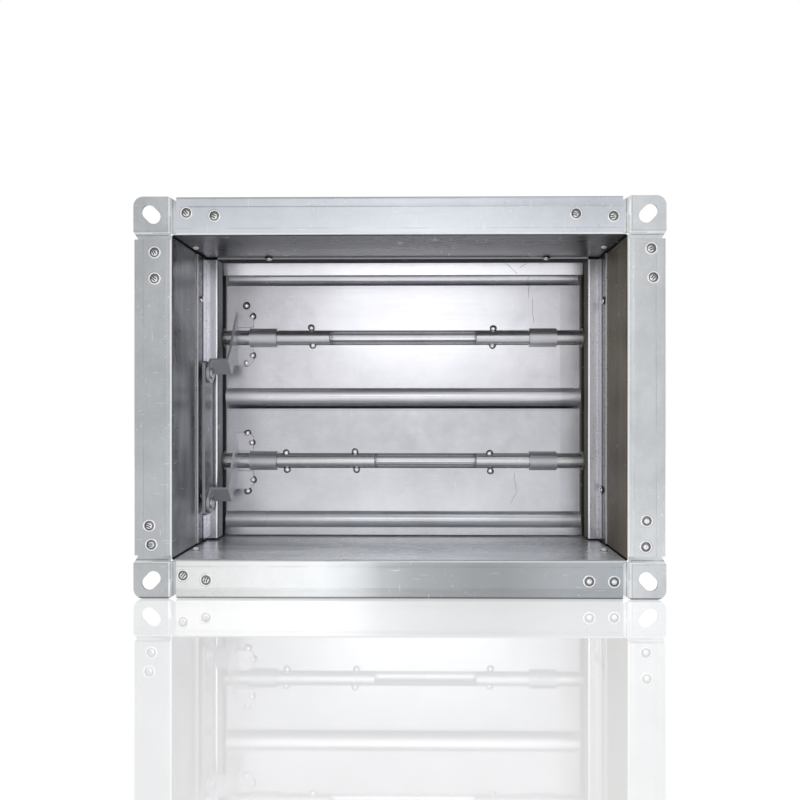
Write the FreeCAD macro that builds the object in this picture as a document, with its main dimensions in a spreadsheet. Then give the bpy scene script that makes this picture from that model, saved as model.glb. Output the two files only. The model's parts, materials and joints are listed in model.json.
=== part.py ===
import FreeCAD, Part

# Two-blade fire damper for a 350 by 250 duct, in millimetres.
# X runs across the duct, Y along the air path away from the viewer, Z upwards.
# The origin is the middle of the duct, in the plane of the blade shafts.

import math
import os
from types import SimpleNamespace

import Sketcher
from FreeCAD import Placement, Rotation, Vector

# Driving sizes: name, value and what it measures
SIZES = [
    ("duct_width", 350.0, "clear width inside the casing"),
    ("duct_height", 250.0, "clear height inside the casing"),
    ("casing_length", 200.0, "front flange face to rear flange face"),
    ("casing_sheet", 1.2, "sheet of the four casing panels"),
    ("flange_height", 30.0, "duct wall to the outer edge of the flange"),
    ("flange_return", 10.0, "flange edge folded back along the duct"),
    ("flange_lip", 7.0, "last fold, back towards the duct wall"),
    ("bend_radius", 1.0, "inside radius of the casing bends"),
    ("bead_depth", 0.4, "flange bead stands proud of the flange by this"),
    ("bead_start", 5.0, "duct wall to the flange bead"),
    ("bead_width", 17.5, "width of the flange bead"),
    ("bead_slope", 1.0, "width of each sloping side of the bead"),
    ("flange_end_gap", 3.0, "flange stops short of the duct corner by this"),
    ("seam_lip", 15.0, "side panel lip that laps over the top and bottom panels"),
    ("seam_lip_inset", 14.0, "flange face to the end of the seam lip"),
    ("corner_sheet", 1.5, "plate of the corner pieces"),
    ("corner_leg_gap", 0.1, "flange sheet to the leg behind it"),
    ("corner_inset", 3.0, "duct corner to the flat of the corner pad"),
    ("corner_radius", 7.5, "rounding of the pad's outer corner"),
    ("corner_leg", 60.0, "length of each leg behind the flange"),
    ("corner_leg_margin", 3.0, "clear space beside a leg inside the flange"),
    ("corner_wall_gap", 1.5, "duct corner to the edge of the pad's slopes"),
    ("joggle_shift", 0.5, "back face of the leg's slope, along from its front face"),
    ("slot_width", 11.0, "bolt slot, across"),
    ("slot_travel", 5.0, "bolt slot, between the centres of its round ends"),
    ("slot_offset", 16.2, "duct wall to the slot centre"),
    ("jamb_sheet", 1.5, "sheet of the side channels that carry the bushes"),
    ("jamb_width", 38.0, "side channel, along the duct"),
    ("jamb_depth", 11.0, "side wall to the face of the side channel"),
    ("jamb_foot", 24.0, "foot of the side channel on the side wall"),
    ("jamb_end_gap", 0.3, "side channel to the top and bottom panels"),
    ("stop_sheet", 1.5, "sheet of the blade stops"),
    ("stop_foot", 20.0, "stop leg against the top or bottom panel"),
    ("stop_cover", 4.2, "stop leg laps the blade edge by this"),
    ("stop_gap", 0.3, "closed blade to its stop"),
    ("stop_end_gap", 0.4, "stop to the side channels"),
    ("blade_sheet", 2.0, "sheet of the blades"),
    ("blade_edge_gap", 8.0, "outer blade edge to the casing"),
    ("blade_overlap", 10.0, "height over which the two blades hook together"),
    ("blade_end_gap", 3.5, "side channel to the end of a blade"),
    ("rim_radius", 7.75, "outer radius of the half-round blade edges"),
    ("strap_start", 21.4, "blade end to the strap over the shaft"),
    ("strap_width", 24.5, "width of that strap"),
    ("shaft_radius", 6.35, "blade shafts"),
    ("shaft_chamfer", 0.7, "chamfer on the shaft ends"),
    ("shaft_seat_clearance", 0.3, "shaft to the groove and straps of the blade"),
    ("shaft_engagement", 94.5, "short shaft inside the blade"),
    ("drive_engagement", 135.5, "drive shaft inside the blade"),
    ("shaft_end_gap", 4.5, "short shaft end to the side wall"),
    ("drive_projection", 26.0, "drive shaft beyond the casing wall"),
    ("drive_end_radius", 6.0, "turned-down end of the drive shaft"),
    ("drive_end_length", 23.0, "length of that end"),
    ("bush_clearance", 0.05, "shaft to the bore of its bush"),
    ("bush_wall", 1.5, "wall of the bushes"),
    ("bush_length", 7.0, "bush behind its flange"),
    ("bush_flange_radius", 8.6, "flange of the bushes"),
    ("bush_flange", 1.3, "thickness of that flange"),
    ("bush_seat_clearance", 0.03, "bush to the hole that holds it"),
    ("crank_sheet", 2.0, "sheet of the cranks"),
    ("crank_inset", 8.1, "blade end to the outer face of the crank web"),
    ("crank_tab", 16.0, "web's outer face to the end of a crank tab"),
    ("crank_tab_near", 9.5, "shaft axis to the near edge of a tab"),
    ("crank_tab_far", 25.5, "shaft axis to the far edge of a tab"),
    ("crank_tab_chamfer", 4.0, "cut-off corner of a tab"),
    ("crank_arm_width", 17.0, "width of the crank arm"),
    ("crank_arm_root", 28.0, "shaft axis to where the web becomes the arm"),
    ("crank_step_back", 8.0, "link pivot back to the outside of the arm's cross step"),
    ("crank_step", 14.5, "web to ear, outer face to outer face"),
    ("crank_radius", 48.0, "shaft axis to the link pivot"),
    ("crank_angle", 45.0, "closed crank below the level, in degrees"),
    ("crank_saddle_clearance", 0.3, "crank saddle to the shaft"),
    ("link_width", 20.0, "link bar, along the duct"),
    ("link_sheet", 2.5, "thickness of the link bar"),
    ("link_end", 10.0, "pivot to the end of the link bar"),
    ("link_corner", 2.5, "corner rounding of the link bar"),
    ("link_gap", 0.3, "link bar to the crank ear and to the pin tail"),
    ("pin_radius", 3.0, "pivot pins"),
    ("pin_head_radius", 5.0, "head and tail of the pivot pins"),
    ("pin_head", 1.6, "thickness of that head"),
    ("pin_seat_clearance", 0.04, "pin to the crank ear that holds it"),
    ("pin_clearance", 0.08, "lower pin to the link bar"),
    ("open_pin_clearance", 0.3, "upper pin to the link bar"),
]

doc = FreeCAD.newDocument("FireDamper")


class Size:
    """A length that knows its value and the sheet formula behind it."""

    def __init__(self, value, formula):
        self.value = value
        self.formula = formula

    def __add__(self, other):
        return Size(self.value + other.value, f"({self.formula} + {other.formula})")

    def __sub__(self, other):
        return Size(self.value - other.value, f"({self.formula} - {other.formula})")

    def __neg__(self):
        return Size(-self.value, f"(0 - {self.formula})")

    def __mul__(self, factor):
        if isinstance(factor, Size):
            return Size(self.value * factor.value, f"({self.formula} * {factor.formula})")
        return Size(self.value * factor, f"({self.formula} * {factor})")

    def __truediv__(self, divisor):
        return Size(self.value / divisor, f"({self.formula} / {divisor})")


def leg_of(hypotenuse, other_leg):
    """The second leg of a right-angled triangle."""
    value = (hypotenuse.value**2 - other_leg.value**2) ** 0.5
    return Size(value, f"sqrt({hypotenuse.formula}^2 - {other_leg.formula}^2)")


def cosine(degrees):
    return Size(math.cos(math.radians(degrees.value)), f"cos({degrees.formula})")


def sine(degrees):
    return Size(math.sin(math.radians(degrees.value)), f"sin({degrees.formula})")


def read_sizes():
    """Write the sizes to the sheet and return them by name."""
    sheet = doc.addObject("Spreadsheet::Sheet", "Sizes")
    for row, (name, value, meaning) in enumerate(SIZES, start=1):
        sheet.set(f"A{row}", meaning)
        sheet.set(f"B{row}", str(value))
        sheet.setAlias(f"B{row}", name)
    doc.recompute()
    return {name: Size(float(sheet.get(name)), f"Sizes.{name}") for name, value, meaning in SIZES}


S = SimpleNamespace(**read_sizes())
ZERO = Size(0.0, "0")
RIGHT_ANGLE = Size(90.0, "90")
LEFT = "anticlockwise"
RIGHT = "clockwise"
AXIS = (ZERO, ZERO)
# Share of the crank arm's half width that the rounded end of its ear takes
EAR_ROUNDING = 0.98

# Places that several pieces share
half_width = S.duct_width / 2
half_height = S.duct_height / 2
half_length = S.casing_length / 2
blade_pitch = half_height - S.blade_edge_gap - S.blade_overlap / 2
blade_reach = (blade_pitch + S.blade_overlap) / 2
half_pitch = blade_pitch / 2
half_blade_sheet = S.blade_sheet / 2
jamb_face = half_width - S.jamb_depth
blade_end = jamb_face - S.blade_end_gap
groove_radius = S.shaft_radius + S.shaft_seat_clearance
strap_radius = groove_radius + S.blade_sheet
flange_back = S.bead_depth + S.casing_sheet
web_face = blade_end - S.crank_inset
ear_face = web_face + S.crank_step
link_face = ear_face + S.link_gap
crank_step_radius = S.crank_radius - S.crank_step_back
bush_radius = S.shaft_radius + S.bush_clearance + S.bush_wall
bush_hole = bush_radius + S.bush_seat_clearance
outer_wall = half_width + S.casing_sheet


def arm_point(along, across):
    """Y and Z of a point on the closed crank: along the arm from its shaft, and across it."""
    forward = cosine(S.crank_angle)
    down = sine(S.crank_angle)
    return -along * forward - across * down, across * forward - along * down


pivot_y, pivot_z = arm_point(S.crank_radius, ZERO)


def bind(thing, **properties):
    """Tie properties to sheet formulas, a double underscore standing for a dot."""
    for name, size in properties.items():
        thing.setExpression(name.replace("__", "."), size.formula)


def new_body(label):
    return doc.addObject("PartDesign::Body", label)


def add_sketch(body, name, plane, offset=None, tilt=None):
    """A sketch on one of the body's own planes, moved along its normal or tilted about its X."""
    sketch = body.newObject("Sketcher::SketchObject", name)
    support = next(item for item in body.Origin.OriginFeatures if item.Role == plane)
    sketch.AttachmentSupport = [(support, "")]
    sketch.MapMode = "FlatFace"
    if offset:
        bind(sketch, AttachmentOffset__Base__z=offset)
    if tilt:
        sketch.AttachmentOffset = Placement(Vector(), Rotation(Vector(1, 0, 0), tilt.value))
        bind(sketch, AttachmentOffset__Rotation__Angle=tilt)
    return sketch


def dimension(sketch, kind, size, *where):
    """A driving dimension tied to the sheet."""
    number = sketch.addConstraint(Sketcher.Constraint(kind, *where, size.value))
    name = f"{kind}_{number}"
    sketch.renameConstraint(number, name)
    sketch.setExpression(f"Constraints.{name}", size.formula)


def pin_down(sketch, geometry, point, x, y):
    """Hold one point of a sketch at x and y from its origin."""
    dimension(sketch, "DistanceX", x, -1, 1, geometry, point)
    dimension(sketch, "DistanceY", y, -1, 1, geometry, point)


def draw_outline(sketch, corners):
    """Draw a closed outline through the corners.

    A corner is (x, y), or (x, y, centre, way) where the edge that leaves it is an arc about
    that centre, way being LEFT for an anticlockwise arc and RIGHT for a clockwise one.
    """
    edges = []
    for here, after in zip(corners, corners[1:] + corners[:1]):
        start = Vector(here[0].value, here[1].value, 0)
        finish = Vector(after[0].value, after[1].value, 0)
        if len(here) == 2:
            edge = sketch.addGeometry(Part.LineSegment(start, finish), False)
            edges.append((edge, 1, 2))
            continue
        (centre_x, centre_y), way = here[2:]
        centre = Vector(centre_x.value, centre_y.value, 0)
        radius = (start - centre).Length
        angles = [math.atan2(point.y - centre.y, point.x - centre.x) for point in (start, finish)]
        if way == RIGHT:
            angles.reverse()
        circle = Part.Circle(centre, Vector(0, 0, 1), radius)
        edge = sketch.addGeometry(Part.ArcOfCircle(circle, *angles), False)
        edges.append((edge, 1, 2) if way == LEFT else (edge, 2, 1))
    for here, after in zip(edges, edges[1:] + edges[:1]):
        sketch.addConstraint(Sketcher.Constraint("Coincident", here[0], here[2], after[0], after[1]))
    for corner, after, (edge, first, last) in zip(corners, corners[1:] + corners[:1], edges):
        pin_down(sketch, edge, first, corner[0], corner[1])
        if len(corner) > 2:
            pin_centre(sketch, edge, corner, after)


def pin_centre(sketch, edge, corner, after):
    """Fix an arc between two held ends by the one free coordinate of its centre."""
    across = abs(after[0].value - corner[0].value)
    upright = abs(after[1].value - corner[1].value)
    if upright > across:
        dimension(sketch, "DistanceX", corner[2][0], -1, 1, edge, 3)
    else:
        dimension(sketch, "DistanceY", corner[2][1], -1, 1, edge, 3)


def draw_circle(sketch, x, y, radius):
    circle = Part.Circle(Vector(x.value, y.value, 0), Vector(0, 0, 1), radius.value)
    edge = sketch.addGeometry(circle, False)
    pin_down(sketch, edge, 3, x, y)
    dimension(sketch, "Radius", radius, edge)


def draw_box(sketch, x0, y0, x1, y1):
    draw_outline(sketch, [(x0, y0), (x1, y0), (x1, y1), (x0, y1)])


def add_pad(body, name, sketch, length, both_ways=False, backwards=False):
    pad = body.newObject("PartDesign::Pad", name)
    pad.Profile = sketch
    pad.SideType = "Symmetric" if both_ways else "One side"
    pad.Reversed = backwards
    bind(pad, Length=length)
    return pad


def cut_through(body, name, sketch):
    """Cut everything in front of and behind the sketch, and check that something went."""
    doc.recompute()
    before = body.Shape.Volume
    pocket = body.newObject("PartDesign::Pocket", name)
    pocket.Profile = sketch
    pocket.SideType = "Symmetric"
    pocket.Type = "ThroughAll"
    doc.recompute()
    if body.Shape.Volume >= before:
        raise RuntimeError(f"{body.Label}: {name} cuts nothing")
    return pocket


def cut_depth(body, name, sketch, depth, both_ways=False):
    pocket = body.newObject("PartDesign::Pocket", name)
    pocket.Profile = sketch
    pocket.SideType = "Symmetric" if both_ways else "One side"
    bind(pocket, Length=depth)
    return pocket


def revolve(body, name, sketch):
    """Turn the sketch about its own horizontal axis."""
    turned = body.newObject("PartDesign::Revolution", name)
    turned.Profile = sketch
    turned.ReferenceAxis = (sketch, ["H_Axis"])
    turned.Angle = 360
    return turned


def mirror(body, name, originals, plane):
    doc.recompute()
    copy = body.newObject("PartDesign::Mirrored", name)
    copy.Originals = originals
    copy.MirrorPlane = (next(i for i in body.Origin.OriginFeatures if i.Role == plane), [""])
    body.Tip = copy
    return copy


def round_edges(body, name, radius, direction, places):
    """Round the straight edges that run along direction through the given places."""
    doc.recompute()
    names = []
    for number, edge in enumerate(body.Shape.Edges, start=1):
        if edge.Curve.TypeId != "Part::GeomLine" or edge.Length < 0.01:
            continue
        if edge.tangentAt(edge.FirstParameter).cross(direction).Length > 0.001:
            continue
        for place in places:
            away = edge.Vertexes[0].Point - place
            if (away - direction * away.dot(direction)).Length < 0.01:
                names.append(f"Edge{number}")
    if len(names) < len(places):
        raise RuntimeError(f"{body.Label}: {name} finds {len(names)} of {len(places)} edges")
    solid = body.Tip
    fillet = body.newObject("PartDesign::Fillet", name)
    fillet.Base = (solid, names)
    bind(fillet, Radius=radius)
    return fillet


def place(thing, x=ZERO, y=ZERO, z=ZERO, rotation=Rotation()):
    """Set a placement whose position follows the sheet."""
    thing.Placement = Placement(Vector(x.value, y.value, z.value), rotation)
    bind(thing, Placement__Base__x=x, Placement__Base__y=y, Placement__Base__z=z)


def group(label, members):
    """Several separate solids under one name."""
    compound = doc.addObject("Part::Compound", label)
    compound.Links = members
    return compound


def flange_profile(inner):
    """Section of a panel in the Y-Z plane: front flange, wall and rear flange."""
    face = -half_length
    low = face + S.bead_depth
    back = face + S.casing_sheet
    low_back = low + S.casing_sheet
    edge = inner + S.flange_height
    bead_low = inner + S.bead_start
    bead_high = bead_low + S.bead_width
    turned = face + S.flange_return
    lip = edge - S.flange_lip
    front = [
        (low, inner),
        (low, bead_low),
        (face, bead_low + S.bead_slope),
        (face, bead_high - S.bead_slope),
        (low, bead_high),
        (low, edge),
        (turned, edge),
        (turned, lip),
        (turned - S.casing_sheet, lip),
        (turned - S.casing_sheet, edge - S.casing_sheet),
        (low_back, edge - S.casing_sheet),
        (low_back, bead_high),
        (back, bead_high - S.bead_slope),
        (back, bead_low + S.bead_slope),
        (low_back, bead_low),
        (low_back, inner + S.casing_sheet),
    ]
    rear = [(-y, z) for y, z in reversed(front)]
    return front + rear


def bend_flanges(body, inner):
    """Round every bend of both flanges, outside and inside of the sheet."""
    low = half_length.value - S.bead_depth.value
    back = low - S.casing_sheet.value
    turned = half_length.value - S.flange_return.value
    edge = inner.value + S.flange_height.value
    sheet = S.casing_sheet.value
    outside = [(low, inner.value), (low, edge), (turned, edge)]
    inside = [(back, inner.value + sheet), (back, edge - sheet), (turned + sheet, edge - sheet)]
    along = Vector(1, 0, 0)
    outer_places = [Vector(0, side * y, z) for side in (-1, 1) for y, z in outside]
    inner_places = [Vector(0, side * y, z) for side in (-1, 1) for y, z in inside]
    round_edges(body, "BendOutside", S.bend_radius + S.casing_sheet, along, outer_places)
    round_edges(body, "BendInside", S.bend_radius, along, inner_places)


def casing_panel(label, span, inner, turn):
    """A flanged panel, drawn as the top one and turned into place about the duct's axis."""
    body = new_body(label)
    section = add_sketch(body, "Section", "YZ_Plane")
    draw_outline(section, flange_profile(inner))
    add_pad(body, "Panel", section, span, both_ways=True)
    bend_flanges(body, inner)
    half_span = span / 2
    above = inner + S.flange_height * 2
    ends = add_sketch(body, "FlangeEnds", "XZ_Plane")
    for side in (-1, 1):
        draw_box(
            ends,
            (half_span - S.flange_end_gap) * side,
            inner + S.casing_sheet,
            (half_span + S.flange_height) * side,
            above,
        )
    cut_through(body, "CutFlangeEnds", ends)
    body.Placement = Placement(Vector(), Rotation(Vector(0, 1, 0), turn))
    return body


def side_panel(label, turn, shaft_x=None):
    """Left or right panel with its two seam lips and, on the drive side, the shaft hole."""
    body = casing_panel(label, S.duct_height, half_width, turn)
    lap = half_height + S.casing_sheet
    root = half_height - S.seam_lip
    seam = add_sketch(body, "SeamSection", "XZ_Plane")
    draw_outline(
        seam,
        [
            (root, outer_wall),
            (root, half_width),
            (lap, half_width),
            (lap, half_width - S.seam_lip),
            (lap + S.casing_sheet, half_width - S.seam_lip),
            (lap + S.casing_sheet, outer_wall),
        ],
    )
    lip = add_pad(body, "SeamLip", seam, (half_length - S.seam_lip_inset) * 2, both_ways=True)
    mirror(body, "OtherSeamLip", [lip], "YZ_Plane")
    if shaft_x:
        shaft_hole = add_sketch(body, "ShaftHole", "XY_Plane")
        draw_circle(shaft_hole, shaft_x, ZERO, bush_hole)
        cut_through(body, "CutShaftHole", shaft_hole)
    return body


def draw_joggled_leg(sketch, swap):
    """Section of a corner leg: flat pad, slope, then the leg that slides behind the flange."""
    sunk = flange_back + S.corner_leg_gap
    points = [
        (S.flange_height / 2, ZERO),
        (S.corner_inset, ZERO),
        (S.joggle_shift - S.corner_inset, sunk),
        (-S.corner_leg, sunk),
        (-S.corner_leg, sunk + S.corner_sheet),
        (-S.corner_inset, sunk + S.corner_sheet),
        (S.corner_inset - S.joggle_shift, S.corner_sheet),
        (S.flange_height / 2, S.corner_sheet),
    ]
    draw_outline(sketch, [(b, a) for a, b in points] if swap else points)


def narrow_legs(body):
    """Trim both legs to the width inside the flange, the outer edge tapering from the pad."""
    edge = S.flange_height
    foot = S.joggle_shift - S.corner_inset
    beyond = -S.corner_leg * 2
    outside = [
        (S.corner_inset, edge),
        (foot, edge - S.corner_leg_margin),
        (beyond, edge - S.corner_leg_margin),
        (beyond, edge * 2),
        (S.corner_inset, edge * 2),
    ]
    inside = [
        (foot, S.corner_leg_margin),
        (foot, ZERO),
        (beyond, ZERO),
        (beyond, S.corner_leg_margin),
    ]
    trim = add_sketch(body, "LegEdges", "XZ_Plane")
    for points in (outside, inside):
        draw_outline(trim, points)
        draw_outline(trim, [(z, x) for x, z in points])
    cut_through(body, "TrimLegs", trim)


def corner_piece(label, x, z, turn, rear):
    """Pressed corner with a slotted pad and two legs, drawn at the top right front corner."""
    body = new_body(label)
    pad_outline = add_sketch(body, "PadOutline", "XZ_Plane")
    edge = S.flange_height
    bend = edge - S.corner_radius
    draw_outline(
        pad_outline,
        [
            (S.corner_inset, S.corner_inset),
            (edge, S.corner_inset),
            (edge, bend, (bend, bend), LEFT),
            (bend, edge),
            (S.corner_inset, edge),
        ],
    )
    add_pad(body, "Pad", pad_outline, S.corner_sheet, backwards=True)
    slope_width = edge - S.corner_wall_gap
    flat_leg = add_sketch(body, "LevelLegSection", "XY_Plane", offset=S.corner_wall_gap)
    draw_joggled_leg(flat_leg, swap=False)
    add_pad(body, "LevelLeg", flat_leg, slope_width)
    upright_leg = add_sketch(body, "UprightLegSection", "YZ_Plane", offset=S.corner_wall_gap)
    draw_joggled_leg(upright_leg, swap=True)
    add_pad(body, "UprightLeg", upright_leg, slope_width)
    narrow_legs(body)
    slot = add_sketch(body, "BoltSlot", "XZ_Plane")
    half_travel = S.slot_travel / 2 * (0.5**0.5)
    across = S.slot_width / 2 * (0.5**0.5)
    near = S.slot_offset - half_travel
    far = S.slot_offset + half_travel
    draw_outline(
        slot,
        [
            (near - across, near + across, (near, near), LEFT),
            (near + across, near - across),
            (far + across, far - across, (far, far), LEFT),
            (far - across, far + across),
        ],
    )
    cut_through(body, "CutBoltSlot", slot)
    facing = Rotation(Vector(0, 0, 1), 180) if rear else Rotation()
    place(body, x, half_length if rear else -half_length, z, facing * Rotation(Vector(0, 1, 0), turn))
    return body


def jamb_channel(label, side):
    """Hat channel against a side wall, drawn at the right wall, that holds the bushes."""
    body = new_body(label)
    wall = half_width
    foot = wall - S.jamb_sheet
    inner = jamb_face + S.jamb_sheet
    flank = S.jamb_width / 2
    inside = flank - S.jamb_sheet
    reach = flank + S.jamb_foot
    section = add_sketch(body, "Section", "XY_Plane")
    front = [
        (wall, -reach),
        (foot, -reach),
        (foot, -flank),
        (jamb_face, -flank),
    ]
    back = [(x, -y) for x, y in reversed(front)]
    hollow = [(wall, inside), (inner, inside), (inner, -inside), (wall, -inside)]
    draw_outline(section, front + back + hollow)
    add_pad(body, "Channel", section, S.duct_height - S.jamb_end_gap * 2, both_ways=True)
    bends = [Vector(jamb_face.value, y * flank.value, 0) for y in (-1, 1)]
    round_edges(body, "BendOutside", S.jamb_sheet, Vector(0, 0, 1), bends)
    holes = add_sketch(body, "BushHoles", "YZ_Plane")
    for z in (half_pitch, -half_pitch):
        draw_circle(holes, ZERO, z, bush_hole)
    cut_through(body, "CutBushHoles", holes)
    if side < 0:
        body.Placement = Placement(Vector(), Rotation(Vector(0, 0, 1), 180))
    return body


def blade_stop(label, up):
    """Angle that the closed blade edge rests against: before the top blade, behind the bottom."""
    body = new_body(label)
    rear = half_blade_sheet + S.stop_gap
    front = rear + S.stop_foot
    drop = half_height - S.blade_edge_gap - S.stop_cover
    section = add_sketch(body, "Section", "YZ_Plane")
    draw_outline(
        section,
        [
            (-rear, half_height),
            (-front, half_height),
            (-front, half_height - S.stop_sheet),
            (-rear - S.stop_sheet, half_height - S.stop_sheet),
            (-rear - S.stop_sheet, drop),
            (-rear, drop),
        ],
    )
    add_pad(body, "Angle", section, (jamb_face - S.stop_end_gap) * 2, both_ways=True)
    bend = Vector(0, -rear.value, half_height.value)
    round_edges(body, "BendOutside", S.stop_sheet, Vector(1, 0, 0), [bend])
    if up < 0:
        body.Placement = Placement(Vector(), Rotation(Vector(1, 0, 0), 180))
    return body


def flanged_bush(label, face, z, side):
    """Bush with its flange on the face and its barrel beyond it, drawn along X."""
    body = new_body(label)
    bore = S.shaft_radius + S.bush_clearance
    section = add_sketch(body, "Section", "XY_Plane")
    draw_outline(
        section,
        [
            (-S.bush_flange, bore),
            (S.bush_length, bore),
            (S.bush_length, bush_radius),
            (ZERO, bush_radius),
            (ZERO, S.bush_flange_radius),
            (-S.bush_flange, S.bush_flange_radius),
        ],
    )
    revolve(body, "Turned", section)
    facing = Rotation() if side > 0 else Rotation(Vector(0, 0, 1), 180)
    place(body, face, ZERO, z, facing)
    return body


def blade_profile():
    """Section of a blade about its shaft: hooked edges and the groove that takes the shaft.

    The bottom edge curls to the front and the top edge to the rear, so that the two blades
    hook into each other when they close.
    """
    half = half_blade_sheet
    centre = blade_reach - S.rim_radius
    hollow = S.rim_radius - S.blade_sheet
    meet = centre - leg_of(S.rim_radius, S.blade_sheet)
    seat = leg_of(strap_radius, half)
    front = [
        (half, -blade_reach, (half, -centre), RIGHT),
        (-half, -meet),
        (-half, -groove_radius),
        (ZERO, -groove_radius, AXIS, LEFT),
        (ZERO, groove_radius),
        (-half, groove_radius),
        (-half, centre - hollow, (-half, centre), LEFT),
        (-half, centre + hollow),
    ]
    rear = [
        (-half, blade_reach, (-half, centre), RIGHT),
        (half, meet),
        (half, seat, AXIS, RIGHT),
        (half, -seat),
        (half, hollow - centre, (half, -centre), LEFT),
        (half, -centre - hollow),
    ]
    return front + rear


def blade(label, z):
    """Pressed blade with two straps lanced forward over its shafts."""
    body = new_body(label)
    section = add_sketch(body, "Section", "YZ_Plane")
    draw_outline(section, blade_profile())
    add_pad(body, "Sheet", section, blade_end * 2, both_ways=True)
    strap_centre = blade_end - S.strap_start - S.strap_width / 2
    window = add_sketch(body, "StrapWindow", "YZ_Plane", offset=strap_centre)
    beyond = strap_radius + S.blade_sheet
    draw_box(window, half_blade_sheet, -strap_radius, beyond, strap_radius)
    opening = cut_depth(body, "LanceStrap", window, S.strap_width, both_ways=True)
    arch = add_sketch(body, "StrapArch", "YZ_Plane", offset=strap_centre)
    draw_outline(
        arch,
        [
            (half_blade_sheet, -strap_radius),
            (ZERO, -strap_radius, AXIS, RIGHT),
            (ZERO, strap_radius),
            (half_blade_sheet, strap_radius),
            (half_blade_sheet, groove_radius),
            (ZERO, groove_radius, AXIS, LEFT),
            (ZERO, -groove_radius),
            (half_blade_sheet, -groove_radius),
        ],
    )
    strap = add_pad(body, "Strap", arch, S.strap_width, both_ways=True)
    mirror(body, "OtherStrap", [opening, strap], "YZ_Plane")
    place(body, z=z)
    return body


def round_shaft(label, start, end, z, turned_down=None):
    """Round bar along X with chamfered ends, its start turned down over a length if one is given."""
    body = new_body(label)
    section = add_sketch(body, "Section", "XY_Plane")
    first_radius = S.drive_end_radius if turned_down else S.shaft_radius
    outline = [
        (start, ZERO),
        (start, first_radius - S.shaft_chamfer),
        (start + S.shaft_chamfer, first_radius),
    ]
    if turned_down:
        shoulder = start + turned_down
        outline += [(shoulder, first_radius), (shoulder, S.shaft_radius)]
    outline += [
        (end - S.shaft_chamfer, S.shaft_radius),
        (end, S.shaft_radius - S.shaft_chamfer),
        (end, ZERO),
    ]
    draw_outline(section, outline)
    revolve(body, "Turned", section)
    place(body, z=z)
    return body


def crank(label, z):
    """Folded crank: a web and two tabs on the blade, and an arm that steps out to the ear."""
    body = new_body(label)
    seat = -half_blade_sheet
    inner = S.crank_sheet - web_face
    half_arm = S.crank_arm_width / 2
    lower_root = arm_point(S.crank_arm_root, -half_arm)
    web = add_sketch(body, "WebOutline", "YZ_Plane", offset=-web_face)
    draw_outline(
        web,
        [
            (seat, S.crank_tab_far),
            arm_point(S.crank_arm_root, half_arm),
            arm_point(crank_step_radius, half_arm),
            arm_point(crank_step_radius, -half_arm),
            (lower_root[0], -S.crank_tab_far),
            (seat, -S.crank_tab_far),
        ],
    )
    add_pad(body, "Web", web, S.crank_sheet)
    tabs = add_sketch(body, "Tabs", "XZ_Plane", offset=half_blade_sheet)
    end = S.crank_tab - web_face
    cut = S.crank_tab_chamfer
    for side in (-1, 1):
        draw_outline(
            tabs,
            [
                (-web_face, S.crank_tab_near * side),
                (end, S.crank_tab_near * side),
                (end, (S.crank_tab_far - cut) * side),
                (end - cut, S.crank_tab_far * side),
                (-web_face, S.crank_tab_far * side),
            ],
        )
    add_pad(body, "TabPads", tabs, S.crank_sheet)
    arm = add_sketch(body, "ArmSection", "XZ_Plane", tilt=S.crank_angle - RIGHT_ANGLE)
    step = crank_step_radius
    ear_end = S.crank_radius + S.crank_arm_width / 2
    draw_outline(
        arm,
        [
            (inner, -S.crank_arm_root),
            (-web_face, -S.crank_arm_root),
            (-web_face, S.crank_sheet - step),
            (-ear_face, S.crank_sheet - step),
            (-ear_face, -ear_end),
            (S.crank_sheet - ear_face, -ear_end),
            (S.crank_sheet - ear_face, -step),
            (inner, -step),
        ],
    )
    add_pad(body, "Arm", arm, S.crank_arm_width, both_ways=True)
    finish_crank(body)
    place(body, z=z)
    return body


def finish_crank(body):
    """Round the ear, cut the saddle over the shaft and the hole for the pivot pin."""
    half_arm = S.crank_arm_width / 2
    ends = [arm_point(S.crank_radius + half_arm, half_arm * side) for side in (1, -1)]
    places = [Vector(0, y.value, z.value) for y, z in ends]
    round_edges(body, "EarEnd", half_arm * EAR_ROUNDING, Vector(1, 0, 0), places)
    saddle = add_sketch(body, "Saddle", "YZ_Plane")
    draw_circle(saddle, ZERO, ZERO, S.shaft_radius + S.crank_saddle_clearance)
    cut_through(body, "CutSaddle", saddle)
    hole = add_sketch(body, "PivotHole", "YZ_Plane")
    draw_circle(hole, pivot_y, pivot_z, S.pin_radius + S.pin_seat_clearance)
    cut_through(body, "CutPivotHole", hole)


def link_bar(label):
    """Flat bar that joins the two cranks."""
    body = new_body(label)
    half = S.link_width / 2
    top = pivot_z + half_pitch
    bottom = pivot_z - half_pitch
    outline = add_sketch(body, "Outline", "YZ_Plane", offset=-link_face)
    draw_box(outline, pivot_y - half, bottom - S.link_end, pivot_y + half, top + S.link_end)
    add_pad(body, "Bar", outline, S.link_sheet, backwards=True)
    corners = [
        Vector(0, (pivot_y + half * side).value, z.value)
        for side in (-1, 1)
        for z in (bottom - S.link_end, top + S.link_end)
    ]
    round_edges(body, "Corners", S.link_corner, Vector(1, 0, 0), corners)
    holes = add_sketch(body, "Holes", "YZ_Plane")
    draw_circle(holes, pivot_y, top, S.pin_radius + S.open_pin_clearance)
    draw_circle(holes, pivot_y, bottom, S.pin_radius + S.pin_clearance)
    cut_through(body, "CutHoles", holes)
    return body


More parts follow.
